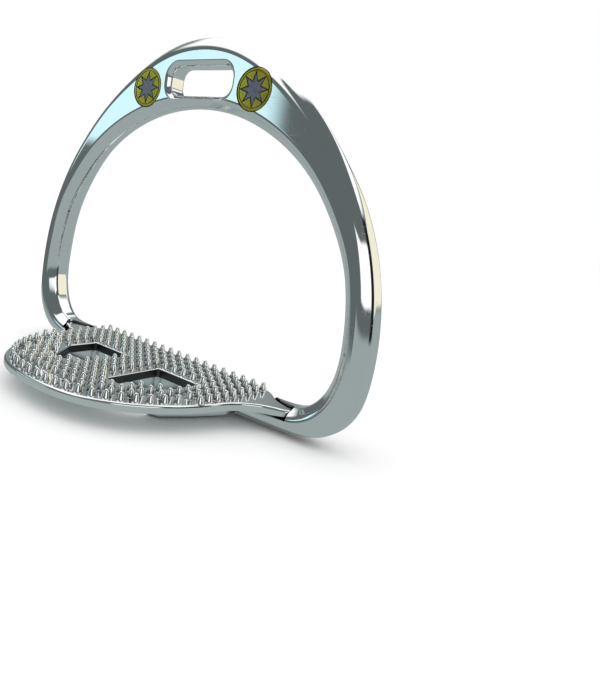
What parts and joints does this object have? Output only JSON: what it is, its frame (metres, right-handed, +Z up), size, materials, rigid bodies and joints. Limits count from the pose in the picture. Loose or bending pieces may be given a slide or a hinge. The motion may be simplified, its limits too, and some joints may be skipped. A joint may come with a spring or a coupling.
{
  "type": "stirrup iron",
  "caption": "Polished riding stirrup iron: a closed arched bow with a slot for the leather and round face badges, carrying a wide studded foot tread.",
  "frame": {"origin": "on the flat underside of the support under the tread, below the middle of the bow", "axes": "+X across the foot opening, -Y the way the tread reaches forward, +Z up through the eye"},
  "size_m": [0.1704, 0.0714, 0.1328],
  "materials": {
    "bow_chrome": "mirror polish",
    "tread_chrome": "bright satin polish",
    "badge_brass": "olive gold lacquer",
    "badge_enamel": "dark enamel inlay"
  },
  "bodies": {
    "root": {"bow": "bow_chrome", "tread_plate": "tread_chrome", "badge_left": "badge_brass", "badge_right": "badge_brass", "badge_rosette_left": "badge_enamel", "badge_rosette_right": "badge_enamel"}
  },
  "joints": []
}
